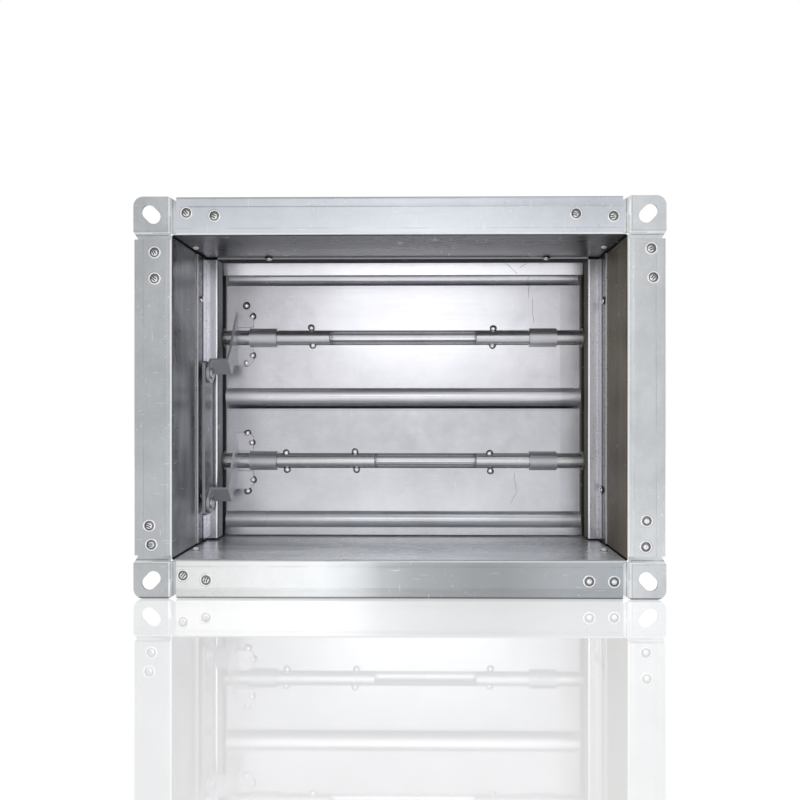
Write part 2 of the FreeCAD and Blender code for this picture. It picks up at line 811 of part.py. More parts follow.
def pivot_pin(label, z):
    """Headed pin through a crank ear and the link bar, drawn along X."""
    body = new_body(label)
    head = S.crank_sheet - ear_face
    tail = -link_face - S.link_sheet - S.link_gap
    section = add_sketch(body, "Section", "XY_Plane")
    draw_outline(
        section,
        [
            (head + S.pin_head, ZERO),
            (head + S.pin_head, S.pin_head_radius),
            (head, S.pin_head_radius),
            (head, S.pin_radius),
            (tail, S.pin_radius),
            (tail, S.pin_head_radius),
            (tail - S.pin_head, S.pin_head_radius),
            (tail - S.pin_head, ZERO),
        ],
    )
    revolve(body, "Turned", section)
    place(body, ZERO, pivot_y, z + pivot_z)
    return body


def build_casing():
    nodes = [
        casing_panel("casing_top", S.duct_width, half_height, 0),
        casing_panel("casing_bottom", S.duct_width, half_height, 180),
        side_panel("casing_left", -90, shaft_x=-half_pitch),
        side_panel("casing_right", 90),
    ]
    corners = [
        ("top_right", half_width, half_height, 0),
        ("bottom_right", half_width, -half_height, 90),
        ("bottom_left", -half_width, -half_height, 180),
        ("top_left", -half_width, half_height, 270),
    ]
    for name, x, z, turn in corners:
        nodes.append(corner_piece(f"corner_front_{name}", x, z, turn, rear=False))
        nodes.append(corner_piece(f"corner_rear_{name}", x, z, -turn + 270, rear=True))
    nodes += [jamb_channel("jamb_channel_left", -1), jamb_channel("jamb_channel_right", 1)]
    nodes += [blade_stop("blade_stop_top", 1), blade_stop("blade_stop_bottom", -1)]
    return nodes


def build_blade(name, z, left_shaft):
    """One blade with its shafts, crank and pivot pin."""
    inner = blade_end - S.shaft_engagement
    right_shaft = round_shaft(f"shaft_{name}_right", inner, half_width - S.shaft_end_gap, z)
    pieces = [blade(f"blade_{name}", z), left_shaft, right_shaft]
    return pieces + [crank(f"crank_{name}", z), pivot_pin(f"pivot_pin_{name}", z)]


def build_blades():
    short_shaft = round_shaft(
        "shaft_upper_left",
        S.shaft_end_gap - half_width,
        S.shaft_engagement - blade_end,
        half_pitch,
    )
    drive_shaft = round_shaft(
        "drive_shaft",
        -outer_wall - S.drive_projection,
        S.drive_engagement - blade_end,
        -half_pitch,
        turned_down=S.drive_end_length,
    )
    nodes = build_blade("upper", half_pitch, short_shaft)
    nodes += build_blade("lower", -half_pitch, drive_shaft)
    nodes.append(link_bar("link_bar"))
    return nodes


def build_bushes():
    """A bush in each hole of the side channels, and one in the side wall for the drive shaft."""
    bushes = [flanged_bush("DriveSideBush", -outer_wall, -half_pitch, 1)]
    for side in (-1, 1):
        for up in (-1, 1):
            label = f"Bush_{len(bushes)}"
            bushes.append(flanged_bush(label, jamb_face * side, half_pitch * up, side))
    return [group("shaft_bushes", bushes)]


def export(nodes):
    """Check every object and write each piece to its own file."""
    doc.recompute()
    for item in doc.Objects:
        if "Invalid" in item.State or "Error" in item.State:
            raise RuntimeError(f"{item.Name} failed: {item.State}")
    for node in nodes:
        if node.Shape.isNull() or not node.Shape.isValid():
            raise RuntimeError(f"{node.Label} has no valid shape")
    os.makedirs("parts", exist_ok=True)
    for node in nodes:
        node.Shape.exportStep(f"parts/{node.Label}.step")
        print(f"{node.Label}: {len(node.Shape.Solids)} solids, {node.Shape.Volume:.0f} mm3")


export(build_casing() + build_blades() + build_bushes())
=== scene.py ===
import json
import math
import random

import bmesh
import bpy
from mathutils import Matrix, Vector

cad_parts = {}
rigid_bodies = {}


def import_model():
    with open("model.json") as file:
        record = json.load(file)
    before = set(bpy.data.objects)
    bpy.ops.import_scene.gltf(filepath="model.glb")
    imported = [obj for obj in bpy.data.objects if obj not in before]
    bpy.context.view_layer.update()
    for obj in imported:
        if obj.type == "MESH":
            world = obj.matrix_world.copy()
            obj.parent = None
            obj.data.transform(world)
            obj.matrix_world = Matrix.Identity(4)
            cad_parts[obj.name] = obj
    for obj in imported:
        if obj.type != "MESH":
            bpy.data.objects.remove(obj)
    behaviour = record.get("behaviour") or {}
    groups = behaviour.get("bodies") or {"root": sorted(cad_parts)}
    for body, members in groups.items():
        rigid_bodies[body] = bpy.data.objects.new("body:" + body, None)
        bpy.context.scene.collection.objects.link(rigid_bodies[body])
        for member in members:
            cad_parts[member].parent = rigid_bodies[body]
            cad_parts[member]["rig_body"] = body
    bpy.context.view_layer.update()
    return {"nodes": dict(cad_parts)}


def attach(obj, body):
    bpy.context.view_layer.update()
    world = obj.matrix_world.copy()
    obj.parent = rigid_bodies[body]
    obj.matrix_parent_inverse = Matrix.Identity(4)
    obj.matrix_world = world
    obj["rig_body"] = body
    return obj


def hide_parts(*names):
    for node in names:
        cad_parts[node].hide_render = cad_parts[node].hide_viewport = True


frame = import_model()
NODES = frame["nodes"]
BODY_OF = {name: obj["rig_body"] for name, obj in NODES.items()}
MM = 0.001
random.seed(7)

# Half sizes of the clear duct, of the casing's length and of its width over the flanges, in mm
HALF_WIDTH = 175
HALF_HEIGHT = 125
HALF_LENGTH = 100
HALF_OUTSIDE = 205

# Levels on a flange in mm: where its face begins along the duct, then counted up from the
# duct's middle its fold, both edges of its bead, its outer strip and the edge it stands on
FLANGE_FACE = 98.5
FLANGE_FOLD = (124.6, 126.6)
BEAD_INNER_EDGE = (130.0, 130.7)
BEAD_OUTER_EDGE = (146.9, 147.6)
OUTER_STRIP = 148.2
STANDING_EDGE = 153.7

# Half the length in mm that a level flange's run of painted reflection covers, and how much cooler it gets
FADE_REACH = 210
COOLING = 0.035

# Tones that several materials share: black painted shadow, dark painted shade, a painted highlight for
# folds and a pale tone for edges
SHADOW_BLACK = (0.012, 0.012, 0.015)
SHADE = (0.05, 0.05, 0.055)
FOLD_HIGHLIGHT = (0.97, 0.98, 1.0)
PALE_EDGE = (0.80, 0.80, 0.84)

# Stretch of a noise into streaks along one axis
ALONG = {"X": (0.03, 1, 1), "Z": (1, 1, 0.03)}


# Small helpers for node trees
class Tree:
    """A material's node tree with short calls for the nodes used here.

    metallic and waves are the sheet's metallic value and the strength of its gentle waves. A
    function that paints zones may put a mask in their place.
    """

    def __init__(self, name):
        self.material = bpy.data.materials.new(name)
        self.material.use_nodes = True
        self.nodes = self.material.node_tree.nodes
        self.links = self.material.node_tree.links
        self.shader = self.nodes["Principled BSDF"]
        self.place = self.nodes.new("ShaderNodeTexCoord").outputs["Object"]
        self.x, self.y, self.z = self.split(self.place)
        self.across = self.math("ABSOLUTE", self.x)
        self.deep = self.math("ABSOLUTE", self.y)
        self.up = self.math("ABSOLUTE", self.z)
        self.metallic = 1.0
        self.waves = 1.0

    def link(self, value, socket):
        if isinstance(value, bpy.types.NodeSocket):
            self.links.new(value, socket)
        else:
            socket.default_value = value

    def split(self, vector):
        parts = self.nodes.new("ShaderNodeSeparateXYZ")
        self.link(vector, parts.inputs[0])
        return parts.outputs[:3]

    def math(self, kind, a, b=0.0):
        node = self.nodes.new("ShaderNodeMath")
        node.operation = kind
        self.link(a, node.inputs[0])
        self.link(b, node.inputs[1])
        return node.outputs[0]

    def both(self, a, b):
        return self.math("MULTIPLY", a, b)

    def either(self, a, b):
        return self.math("MAXIMUM", a, b)

    def outside(self, mask):
        return self.math("SUBTRACT", 1.0, mask)

    def minus(self, value):
        return self.math("MULTIPLY", value, -1.0)

    def fade(self, factor, a, b):
        """A number that goes from a to b with the factor."""
        return self.math("ADD", a, self.math("MULTIPLY", factor, self.math("SUBTRACT", b, a)))

    def blend(self, a, b, share):
        """Two values added up, with this share of the first and the rest of the second."""
        return self.math("ADD", self.math("MULTIPLY", a, share), self.math("MULTIPLY", b, 1 - share))

    def span(self, value, low, high, to_low=0.0, to_high=1.0, smooth=False):
        node = self.nodes.new("ShaderNodeMapRange")
        node.interpolation_type = "SMOOTHSTEP" if smooth else "LINEAR"
        self.link(value, node.inputs["Value"])
        ends = {"From Min": low, "From Max": high, "To Min": to_low, "To Max": to_high}
        for name, number in ends.items():
            self.link(number, node.inputs[name])
        return node.outputs["Result"]

    def past(self, value, edge, soft=0.3):
        """1 where the value is beyond an edge, given in mm, and 0 before it."""
        return self.span(value, (edge - soft / 2) * MM, (edge + soft / 2) * MM)

    def before(self, value, edge, soft=0.3):
        """1 where the value is short of an edge, given in mm, and 0 beyond it."""
        return self.outside(self.past(value, edge, soft))

    def band(self, value, low, high, soft=0.3):
        """1 between two edges, given in mm, and 0 elsewhere."""
        return self.math("SUBTRACT", self.past(value, low, soft), self.past(value, high, soft))

    def moved(self, offset=(0, 0, 0), turn=(0, 0, 0), scale=(1, 1, 1), kind="POINT"):
        node = self.nodes.new("ShaderNodeMapping")
        node.vector_type = kind
        self.link(self.place, node.inputs["Vector"])
        node.inputs["Location"].default_value = offset
        node.inputs["Rotation"].default_value = turn
        node.inputs["Scale"].default_value = scale
        return node.outputs["Vector"]

    def noise(
        self, scale, stretch=(1, 1, 1), detail=3.0, rough=0.55, turn=(0, 0, 0), offset=(0, 0, 0), warp=0.0
    ):
        node = self.nodes.new("ShaderNodeTexNoise")
        self.link(self.moved(offset, turn, stretch), node.inputs["Vector"])
        node.inputs["Scale"].default_value = scale
        node.inputs["Detail"].default_value = detail
        node.inputs["Roughness"].default_value = rough
        node.inputs["Distortion"].default_value = warp
        return node.outputs["Fac"]

    def patches(self, low, high, scale, **pattern):
        """0 where a noise is below its low value, and up to 1 where it is above its high value."""
        return self.span(self.noise(scale, **pattern), low, high)

    def mix(self, factor, a, b, kind="MIX"):
        """Two colours mixed. The node's colour sockets are its inputs 6 and 7 and its output 2."""
        node = self.nodes.new("ShaderNodeMix")
        node.data_type = "RGBA"
        node.blend_type = kind
        self.link(factor, node.inputs["Factor"])
        self.link((*a, 1) if isinstance(a, tuple) else a, node.inputs[6])
        self.link((*b, 1) if isinstance(b, tuple) else b, node.inputs[7])
        return node.outputs[2]

    def tint(self, colour, mask, tone, strength=1.0):
        """The colour, painted over with a tone where the mask is 1."""
        return self.mix(self.math("MULTIPLY", mask, strength), colour, tone)

    def times(self, colour, factor):
        return self.mix(1.0, colour, factor, "MULTIPLY")

    def blob(self, centre, size, soft, warp=None):
        """1 inside an ellipsoid round a place on the object, 0 outside."""
        inside = self.moved(centre, scale=size, kind="TEXTURE")
        if warp is not None:
            node = self.nodes.new("ShaderNodeVectorMath")
            node.operation = "ADD"
            self.link(inside, node.inputs[0])
            self.link(warp, node.inputs[1])
            inside = node.outputs[0]
        node = self.nodes.new("ShaderNodeVectorMath")
        node.operation = "LENGTH"
        self.link(inside, node.inputs[0])
        return self.span(node.outputs["Value"], 1.0, 1.0 - soft, smooth=True)

    def strokes(self, marks):
        """Thin uneven strokes on a front face, each from (x, z) to (x, z) in mm."""
        half_width = 0.35
        drift = self.math("MULTIPLY", self.math("SUBTRACT", self.noise(160), 0.5), 7.2)
        total = 0.0
        for (x0, z0), (x1, z1) in marks:
            length = math.hypot(x1 - x0, z1 - z0)
            centre = ((x0 + x1) / 2 * MM, 0, (z0 + z1) / 2 * MM)
            turn = (0, -math.atan2(z1 - z0, x1 - x0), 0)
            size = (length / 2 * MM, 0.05, half_width * MM)
            forward, _, sideways = self.split(self.moved(centre, turn, size, "TEXTURE"))
            side = self.math("ADD", sideways, drift)
            mark = self.both(
                self.span(self.math("ABSOLUTE", side), 1.0, 0.4),
                self.span(self.math("ABSOLUTE", forward), 1.0, 0.9),
            )
            total = self.either(total, mark)
        return total

    def bump(self, height, strength, distance, under=None):
        node = self.nodes.new("ShaderNodeBump")
        self.link(height, node.inputs["Height"])
        node.inputs["Strength"].default_value = strength
        node.inputs["Distance"].default_value = distance
        if under is not None:
            self.link(under, node.inputs["Normal"])
        return node.outputs["Normal"]

    def finish(self, colour, roughness, normal):
        self.link(colour, self.shader.inputs["Base Color"])
        self.link(roughness, self.shader.inputs["Roughness"])
        self.link(normal, self.shader.inputs["Normal"])
        self.link(self.metallic, self.shader.inputs["Metallic"])
        return self.material


def zinc(name, dark, light, rough, metallic, grain, streak, speckle=0.0, brushed=1.0, zones=None):
    """Zinc-coated sheet: cloudy tone, rolling streaks along one axis, pores and thin scratches.

    dark and light are the ends of the tone, rough is the lowest and highest roughness and grain
    is the axis of the streaks. streak, speckle and brushed are how strong the streaks, the
    pores and the scratches are. zones repaints parts of the surface before the scratches come.
    """
    tree = Tree(name)
    tree.metallic = metallic
    clouds = tree.noise(9, detail=4, warp=0.4)
    blotches = tree.noise(38, detail=6, rough=0.68, offset=(3, 1, 2))
    streaks = tree.noise(620, ALONG[grain], detail=4, rough=0.65)
    broad = tree.noise(90, ALONG[grain], detail=2, offset=(1, 5, 2))
    tone = tree.math("ADD", tree.span(clouds, 0.33, 0.67, 0, 0.5), tree.span(blotches, 0.36, 0.66, 0, 0.5))
    tone = tree.mix(streak, tone, tree.blend(streaks, broad, 0.6))
    colour = tree.mix(tone, dark, light)
    roughness = tree.span(tree.blend(blotches, streaks, 0.6), 0.3, 0.7, *rough)
    if zones:
        colour, roughness = zones(tree, colour, roughness)
    # A few thin scratches that cross the rolling direction
    thin = {"detail": 2, "rough": 0.4}
    level = tree.patches(0.72, 0.75, 55, stretch=(1, 1, 14), turn=(0.5, 0.9, 0.4), warp=0.2, **thin)
    shift = (4, 4, 1)
    steep = tree.patches(0.73, 0.76, 48, stretch=(12, 1, 1), turn=(0.2, 0.5, 1.1), offset=shift, **thin)
    cuts = tree.math("MULTIPLY", tree.either(level, steep), brushed)
    colour = tree.tint(colour, cuts, (0.9, 0.9, 0.92), 0.4)
    pores = tree.patches(0.68, 0.78, 900, detail=2)
    colour = tree.tint(colour, pores, (0.2, 0.2, 0.21), 0.12 + speckle)
    # Relief: the streaks, gentle waves in the sheet, then scratches and pores
    waves = tree.both(tree.noise(17, detail=2, offset=(2, 2, 2)), tree.waves)
    normal = tree.bump(streaks, 0.10 * brushed, 0.00006)
    normal = tree.bump(waves, 0.16, 0.0012, normal)
    normal = tree.bump(tree.math("SUBTRACT", cuts, pores), 0.12, 0.00004, normal)
    return tree.finish(colour, roughness, normal)


def shaded_standing_edge(tree, colour):
    """The lowest edge of the casing, darkened with painted shade."""
    return tree.tint(colour, tree.past(tree.minus(tree.z), STANDING_EDGE, 0.5), SHADE, 0.7)


def painted_flange_reflection(tree, fade, upright):
    """Painted reflection: tones at a row of places along a flange, slightly cooler to the right if it lies
    level.
    """
    ramp = tree.nodes.new("ShaderNodeValToRGB")
    stops = ramp.color_ramp.elements
    for number, (place, tone) in enumerate((fade[0], fade[-1], *fade[1:-1])):
        position = (place + FADE_REACH) / (2 * FADE_REACH)
        if number > 1:
            stop = stops.new(position)
        else:
            stop = stops[number]
            stop.position = position
        cool = 0 if upright else COOLING * place / HALF_OUTSIDE
        stop.color = (tone * (1 - cool), tone, tone * (1 + cool), 1)
    along = tree.z if upright else tree.x
    tree.link(tree.span(along, -FADE_REACH * MM, FADE_REACH * MM), ramp.inputs["Fac"])
    return ramp.outputs["Color"]


def flange_lines(tree, colour, rise, rim):
    """Painted shade along both edges of the bead, a painted highlight where the flange folds into the
    duct, painted shade on the outer strip, and the flecks.
    """
    face = tree.past(tree.deep, FLANGE_FACE)
    # Painted shade along both edges of the bead
    edges = tree.either(tree.band(rise, *BEAD_INNER_EDGE), tree.band(rise, *BEAD_OUTER_EDGE))
    edges = tree.both(tree.both(edges, face), tree.patches(0.42, 0.56, 24))
    colour = tree.tint(colour, edges, (0.16, 0.17, 0.18), 0.22)
    # Painted highlight on the fold into the duct
    flange_fold_highlight = tree.both(tree.band(rise, *FLANGE_FOLD, 0.6), tree.past(tree.deep, FLANGE_FACE - 1))
    colour = tree.tint(colour, flange_fold_highlight, FOLD_HIGHLIGHT, 0.8)
    # Painted shade on the outer strip
    outer = tree.both(tree.past(rise, OUTER_STRIP, 0.6), face)
    colour = tree.tint(colour, outer, (0.15, 0.16, 0.17), rim)
    colour = shaded_standing_edge(tree, colour)
    patchy = tree.both(face, tree.patches(0.42, 0.58, 13, detail=2, offset=(2, 6, 4)))
    for scale, offset, tone, strength in (
        (330, (7, 1, 3), (0.95, 0.96, 0.97), 0.45),
        (290, (1, 8, 5), (0.2, 0.21, 0.22), 0.25),
    ):
        flecks = tree.patches(0.60, 0.68, scale, detail=4, rough=0.7, offset=offset)
        colour = tree.tint(colour, tree.both(patchy, flecks), tone, strength)
    return colour


def panel(name, sheet, inner_light_and_shade, upright, inner_rough=(0.24, 0.36), fade=None, rim=0.0, depth=(1, 1), marks=()):
    """Casing panel: bare flange and outside, and inside the duct a cloudy tone that paints its light
    and shade.

    sheet is the dark and light tone of the flange and outside, the pair after it that of the
    inside, and upright tells a side panel from the top and bottom ones. fade gives the tones of a
    reflection painted at a row of places along the flange, and rim is how much painted shade
    darkens its outer strip. depth is what the inside tone is multiplied by at the front and at the
    blades, as painted light. marks are patches on the inside tone: centre, size, colour and strength.
    """
    grain = "Z" if upright else "X"

    def zones(tree, colour, roughness):
        # Painted reflection along the flange
        if fade:
            colour = tree.times(colour, painted_flange_reflection(tree, fade, upright))
        rise = tree.math("SUBTRACT", tree.across, (HALF_WIDTH - HALF_HEIGHT) * MM) if upright else tree.up
        colour = flange_lines(tree, colour, rise, rim)
        # The inside of the duct: a cloudy tone that paints its light and shade, dark on the top and sides
        # and pale on the bottom
        inner_clouds = tree.noise(19, (1, 1, 0.4) if upright else (0.4, 1, 1), detail=5, rough=0.6, warp=0.9)
        rolled = tree.noise(120, ALONG[grain], detail=2, offset=(5, 2, 7))
        inner_tone = tree.mix(tree.span(tree.blend(inner_clouds, rolled, 0.88), 0.36, 0.64), *inner_light_and_shade)
        warp = tree.nodes.new("ShaderNodeTexNoise")
        tree.link(tree.place, warp.inputs["Vector"])
        warp.inputs["Scale"].default_value = 110
        for centre, size, tone, strength in marks:
            spot = tree.blob([v * MM for v in centre], [v * MM for v in size], 0.7, warp.outputs["Color"])
            spot = tree.both(spot, tree.patches(0.42, 0.6, 190, detail=4))
            inner_tone = tree.tint(inner_tone, spot, tone, strength)
        # Painted light: the inside tone changes from the opening to the blades, as light falls in from the
        # front
        inner_tone = tree.times(inner_tone, tree.span(tree.y, -0.09, -0.02, *depth))
        # Painted shade: black along the seams in the corners of the duct
        seam = tree.past(tree.up, 123.7, 0.6) if upright else tree.past(tree.across, 173.9, 0.6)
        inner_tone = tree.mix(seam, inner_tone, SHADOW_BLACK)
        inside = tree.both(
            tree.before(tree.across, HALF_WIDTH + 0.5, 0.4),
            tree.before(tree.up, HALF_HEIGHT + 0.5, 0.4),
        )
        tree.metallic = tree.fade(inside, tree.metallic, 0.55)
        tree.waves = tree.fade(inside, 1.0, 0.35)
        inner_roughness = tree.fade(seam, tree.span(inner_clouds, 0.35, 0.65, *inner_rough), 0.9)
        return tree.mix(inside, colour, inner_tone), tree.fade(inside, roughness, inner_roughness)

    return zinc(name, *sheet, (0.30, 0.42), 0.85, grain, 0.35, zones=zones)


def jamb(name, flank, foot, face, spots, shadow):
    """Side channel: bright flank with a painted highlight on its edge towards the face, and painted
    shade on its foot on the wall and on its face.

    flank is the dark and light tone of the flank, and the two tones after it are those of the foot
    and the face, both painted for their shade. spots is how strong the dark flecks beside the foot
    are, and shadow is how much darker the foot is with painted shade between the flank and its
    darker outer part.
    """
    foot_start = 173.2
    face_end = 164.5

    def zones(tree, colour, roughness):
        near_foot = tree.span(tree.across, 0.1692, 0.1735)
        flecks = tree.both(tree.patches(0.53, 0.62, 620, detail=4), near_foot)
        colour = tree.tint(colour, flecks, (0.06, 0.05, 0.05), spots)
        # Painted shade on the foot, from the round of the bend outwards, with a black painted shadow in
        # its gap at the wall
        wall = tree.past(tree.across, foot_start)
        outer = tree.both(wall, tree.past(tree.deep, 30.5))
        colour = tree.tint(colour, wall, (0.22, 0.22, 0.23), shadow)
        colour = tree.mix(outer, colour, foot)
        speck = tree.both(outer, tree.patches(0.54, 0.62, 330, detail=4, offset=(3, 3, 3)))
        colour = tree.tint(colour, speck, (0.45, 0.45, 0.47), 0.35)
        wall_gap_shadow = tree.both(wall, tree.band(tree.deep, 29.0, 31.5))
        colour = tree.mix(wall_gap_shadow, colour, SHADOW_BLACK)
        # The front edge of the foot, painted pale
        colour = tree.mix(tree.both(tree.past(tree.deep, 42.5), wall), colour, PALE_EDGE)
        # Painted highlight on the arris between flank and face
        front = tree.past(tree.deep, 17.9, 0.8)
        arris = tree.both(tree.band(tree.across, 163.9, 165.2, 0.5), front)
        colour = tree.mix(arris, colour, (0.97, 0.97, 1.0))
        # Painted shade on the face towards the blades, and black painted shadow in the gap at their ends
        # and along its edges
        dark = tree.both(tree.before(tree.across, face_end), tree.outside(front))
        face_gap_shadow = tree.either(tree.band(tree.y, -4.2, 7.0, 1.5), tree.past(tree.deep, 17.0, 1.0))
        colour = tree.mix(dark, colour, tree.mix(face_gap_shadow, face, (0.015, 0.015, 0.017)))
        # Painted shade: black at the channel's ends in the corners of the duct
        ends = tree.past(tree.up, 123.4, 0.6)
        colour = tree.mix(ends, colour, SHADOW_BLACK)
        dull = tree.either(tree.either(dark, ends), wall_gap_shadow)
        tree.metallic = tree.fade(tree.both(dark, tree.outside(face_gap_shadow)), tree.metallic, 0.2)
        return colour, tree.fade(dull, roughness, 0.9)

    return zinc(name, *flank, (0.24, 0.34), 0.92, "Z", 0.35, 0.1, zones=zones)


def blade(name, sheet, middle, marks, shades):
    """Smooth, cloudy blade sheet, duller on the straps over the shafts, with painted light on its
    lower rim and ends and painted shade in strips and towards its right side.

    sheet is its dark and light tone, middle is the shaft's z in mm and marks are thin strokes.
    The last argument gives strips of painted shade along the blade: lowest and highest z, soft
    edge, strength.
    """

    def zones(tree, colour, roughness):
        level = tree.math("ABSOLUTE", tree.math("SUBTRACT", tree.z, middle * MM))
        strap = tree.both(tree.band(tree.across, 114.4, 139.3), tree.before(level, 10))
        strap = tree.both(strap, tree.past(tree.minus(tree.y), 1.6))
        left = tree.past(tree.minus(tree.x), 128, 24)
        roughness = tree.fade(left, roughness, 0.36)
        roughness = tree.fade(strap, roughness, 0.33)
        # Painted light: the lower rim and the ends of the blade are painted paler, and they are duller
        rim = tree.before(tree.z, middle - 47, 3)
        end = tree.past(tree.across, 155, 10)
        colour = tree.mix(tree.either(rim, end), colour, tree.times(colour, (1.25, 1.25, 1.25)))
        tree.metallic = tree.fade(tree.either(tree.either(rim, strap), end), tree.metallic, 0.65)
        # Painted shade in strips along the blade
        for low, high, soft, strength in shades:
            colour = tree.tint(colour, tree.band(tree.z, low, high, soft), SHADE, strength)
        # The blade's end faces, painted pale
        colour = tree.tint(colour, tree.past(tree.across, 159.9), (0.9, 0.9, 0.95), 0.5)
        # Painted shade towards the blade's right end, in patches
        right_end_shade = tree.both(tree.past(tree.x, 143, 1.5), tree.patches(0.35, 0.6, 14))
        colour = tree.tint(colour, right_end_shade, (0.2, 0.2, 0.22), 0.25)
        return tree.tint(colour, tree.strokes(marks), (0.10, 0.10, 0.11), 0.55), roughness

    return zinc(name, *sheet, (0.18, 0.27), 0.95, "X", 0.12, brushed=0.3, zones=zones)


def stop(name, dark, light):
    """Blade stop: bright leg, painted shade on the foot and a front edge painted pale."""

    def zones(tree, colour, roughness):
        # Painted shade on the foot
        foot = tree.past(tree.deep, 4.1)
        colour = tree.mix(foot, colour, (0.09, 0.09, 0.095))
        # The front edge, painted pale
        colour = tree.mix(tree.past(tree.deep, 20.8), colour, PALE_EDGE)
        marks = [((93, 124), (99, 118)), ((99, 118), (104, 113)), ((113, 124), (106, 119))]
        colour = tree.tint(colour, tree.strokes(marks), (0.12, 0.12, 0.13), 0.5)
        return colour, tree.fade(foot, roughness, 0.85)

    return zinc(name, dark, light, (0.17, 0.25), 0.92, "X", 0.2, brushed=0.3, zones=zones)


def folds(tree, colour, roughness):
    """Corner plate: painted light that makes it paler to the right, painted highlights round the pad and
    thin painted shade beside them, and specks.
    """
    # Painted light: paler to the right, as the light falls
    colour = tree.times(colour, tree.span(tree.x, -0.19, 0.19, 0.925, 1.18))
    # Painted highlights on the folds between the pad and its two legs
    across = tree.both(tree.band(tree.across, 176.6, 178.0, 0.5), tree.past(tree.up, 126.5))
    along = tree.both(tree.band(tree.up, 126.3, 127.3, 0.4), tree.past(tree.across, 178))
    pad_fold_highlight = tree.both(tree.either(across, along), tree.span(tree.noise(60), 0.3, 0.5, 0.45, 1.0))
    colour = tree.tint(colour, pad_fold_highlight, (0.93, 0.94, 0.96), 0.6)
    # Painted shade: thin dark lines on the legs, and fainter ones on the pad
    under = tree.both(tree.band(tree.up, 124.7, 125.5), tree.past(tree.across, 178))
    beside = tree.both(tree.band(tree.across, 174.3, 175.1), tree.past(tree.up, 126.5))
    ridge = tree.both(tree.band(tree.across, 178.6, 179.1), tree.past(tree.up, 128.5))
    crease = tree.both(tree.band(tree.up, 128.1, 128.6), tree.past(tree.across, 178.5))
    inner = tree.math("MULTIPLY", tree.either(ridge, crease), 0.55)
    broken = tree.span(tree.noise(110, detail=4, offset=(1, 2, 6)), 0.38, 0.52, 0.4, 1.0)
    fold_shade_lines = tree.both(tree.either(tree.either(under, beside), inner), broken)
    colour = tree.tint(colour, fold_shade_lines, (0.16, 0.16, 0.17), 0.6)
    colour = tree.tint(colour, tree.patches(0.60, 0.68, 300, detail=5, rough=0.7), (0.2, 0.2, 0.21), 0.25)
    return shaded_standing_edge(tree, colour), roughness


def weld_metal(name, dark, light, rough):
    """Melted or scorched steel with a fine mottle."""
    tree = Tree(name)
    mottle = tree.noise(420, detail=4)
    colour = tree.mix(tree.span(mottle, 0.35, 0.65), dark, light)
    roughness = tree.span(mottle, 0.3, 0.7, *rough)
    tree.metallic = 0.95
    return tree.finish(colour, roughness, tree.bump(mottle, 0.3, 0.0001))


# Looks of the casing panels, one sheet in four tones that paint the light and shade of each side
TOP = panel(
    "zinc_top",
    sheet=((0.55, 0.58, 0.63), (0.76, 0.79, 0.84)),
    inner_light_and_shade=((0.065, 0.065, 0.072), (0.20, 0.208, 0.218)),
    upright=False,
    depth=(0.84, 0.88),
    marks=[((-78, -66, 125), (20, 4, 3), (0.03, 0.03, 0.035), 0.8)],
)
BOTTOM = panel(
    "zinc_bottom",
    sheet=((0.65, 0.68, 0.70), (0.83, 0.85, 0.87)),
    inner_light_and_shade=((0.52, 0.54, 0.56), (0.80, 0.82, 0.86)),
    upright=False,
    inner_rough=(0.22, 0.32),
    fade=[
        (-205, 1.0), (-130, 1.12), (-106, 1.2), (-60, 1.2), (-36, 1.0), (-13, 0.66), (11, 0.51),
        (58, 0.43), (81, 0.43), (128, 0.58), (205, 0.64),
    ],
    rim=0.12,
    depth=(1.6, 1.02),
    marks=[((0, -70, -125), (60, 14, 3), (0.95, 0.95, 0.97), 0.35)],
)
LEFT = panel(
    "zinc_left",
    sheet=((0.40, 0.42, 0.44), (0.61, 0.63, 0.65)),
    inner_light_and_shade=((0.11, 0.11, 0.125), (0.50, 0.51, 0.54)),
    upright=True,
)
RIGHT = panel(
    "zinc_right",
    sheet=((0.47, 0.49, 0.51), (0.73, 0.75, 0.76)),
    inner_light_and_shade=((0.075, 0.062, 0.042), (0.215, 0.185, 0.135)),
    upright=True,
    inner_rough=(0.42, 0.56),
    fade=[(-155, 1.24), (-125, 1.2), (-95, 1.08), (-60, 1.02), (0, 1.0), (155, 0.99)],
    depth=(1.5, 0.85),
)

# Looks of the other sheets
CORNER = zinc(
    "zinc_corner_plate", (0.44, 0.46, 0.48), (0.68, 0.70, 0.71), (0.30, 0.44), 0.85, "X", 0.2, zones=folds
)
# The upper blade is painted lighter than the lower one, as lit and shaded copies of one sheet
BLADE_UPPER = blade(
    "zinc_blade_upper",
    sheet=((0.54, 0.54, 0.58), (0.68, 0.68, 0.72)),
    middle=56,
    marks=[((114.8, 116), (114.2, 92)), ((117.6, 92), (118.6, 69)), ((-52, 62), (-51, 62.6))],
    shades=[(58.6, 63.0, 1.5, 0.35), (70, 110, 14, 0.07)],
)
BLADE_LOWER = blade(
    "zinc_blade_lower",
    sheet=((0.45, 0.46, 0.49), (0.57, 0.58, 0.62)),
    middle=-56,
    marks=[((101, -67), (103.5, -84)), ((103.5, -84), (98, -95))],
    shades=[(-53.4, -49.0, 1.5, 0.35), (-10.5, -6.0, 1.0, 0.15)],
)
# The two channels are painted in two sets of tones for their light and shade, the right one darker
JAMB_LEFT = jamb(
    "zinc_jamb_left",
    flank=((0.80, 0.80, 0.87), (0.95, 0.95, 1.0)),
    foot=(0.17, 0.17, 0.19),
    face=(0.45, 0.46, 0.50),
    spots=0.2,
    shadow=0.15,
)
JAMB_RIGHT = jamb(
    "zinc_jamb_right",
    flank=((0.72, 0.72, 0.77), (0.90, 0.90, 0.95)),
    foot=(0.08, 0.065, 0.05),
    face=(0.20, 0.18, 0.155),
    spots=0.28,
    shadow=0.6,
)
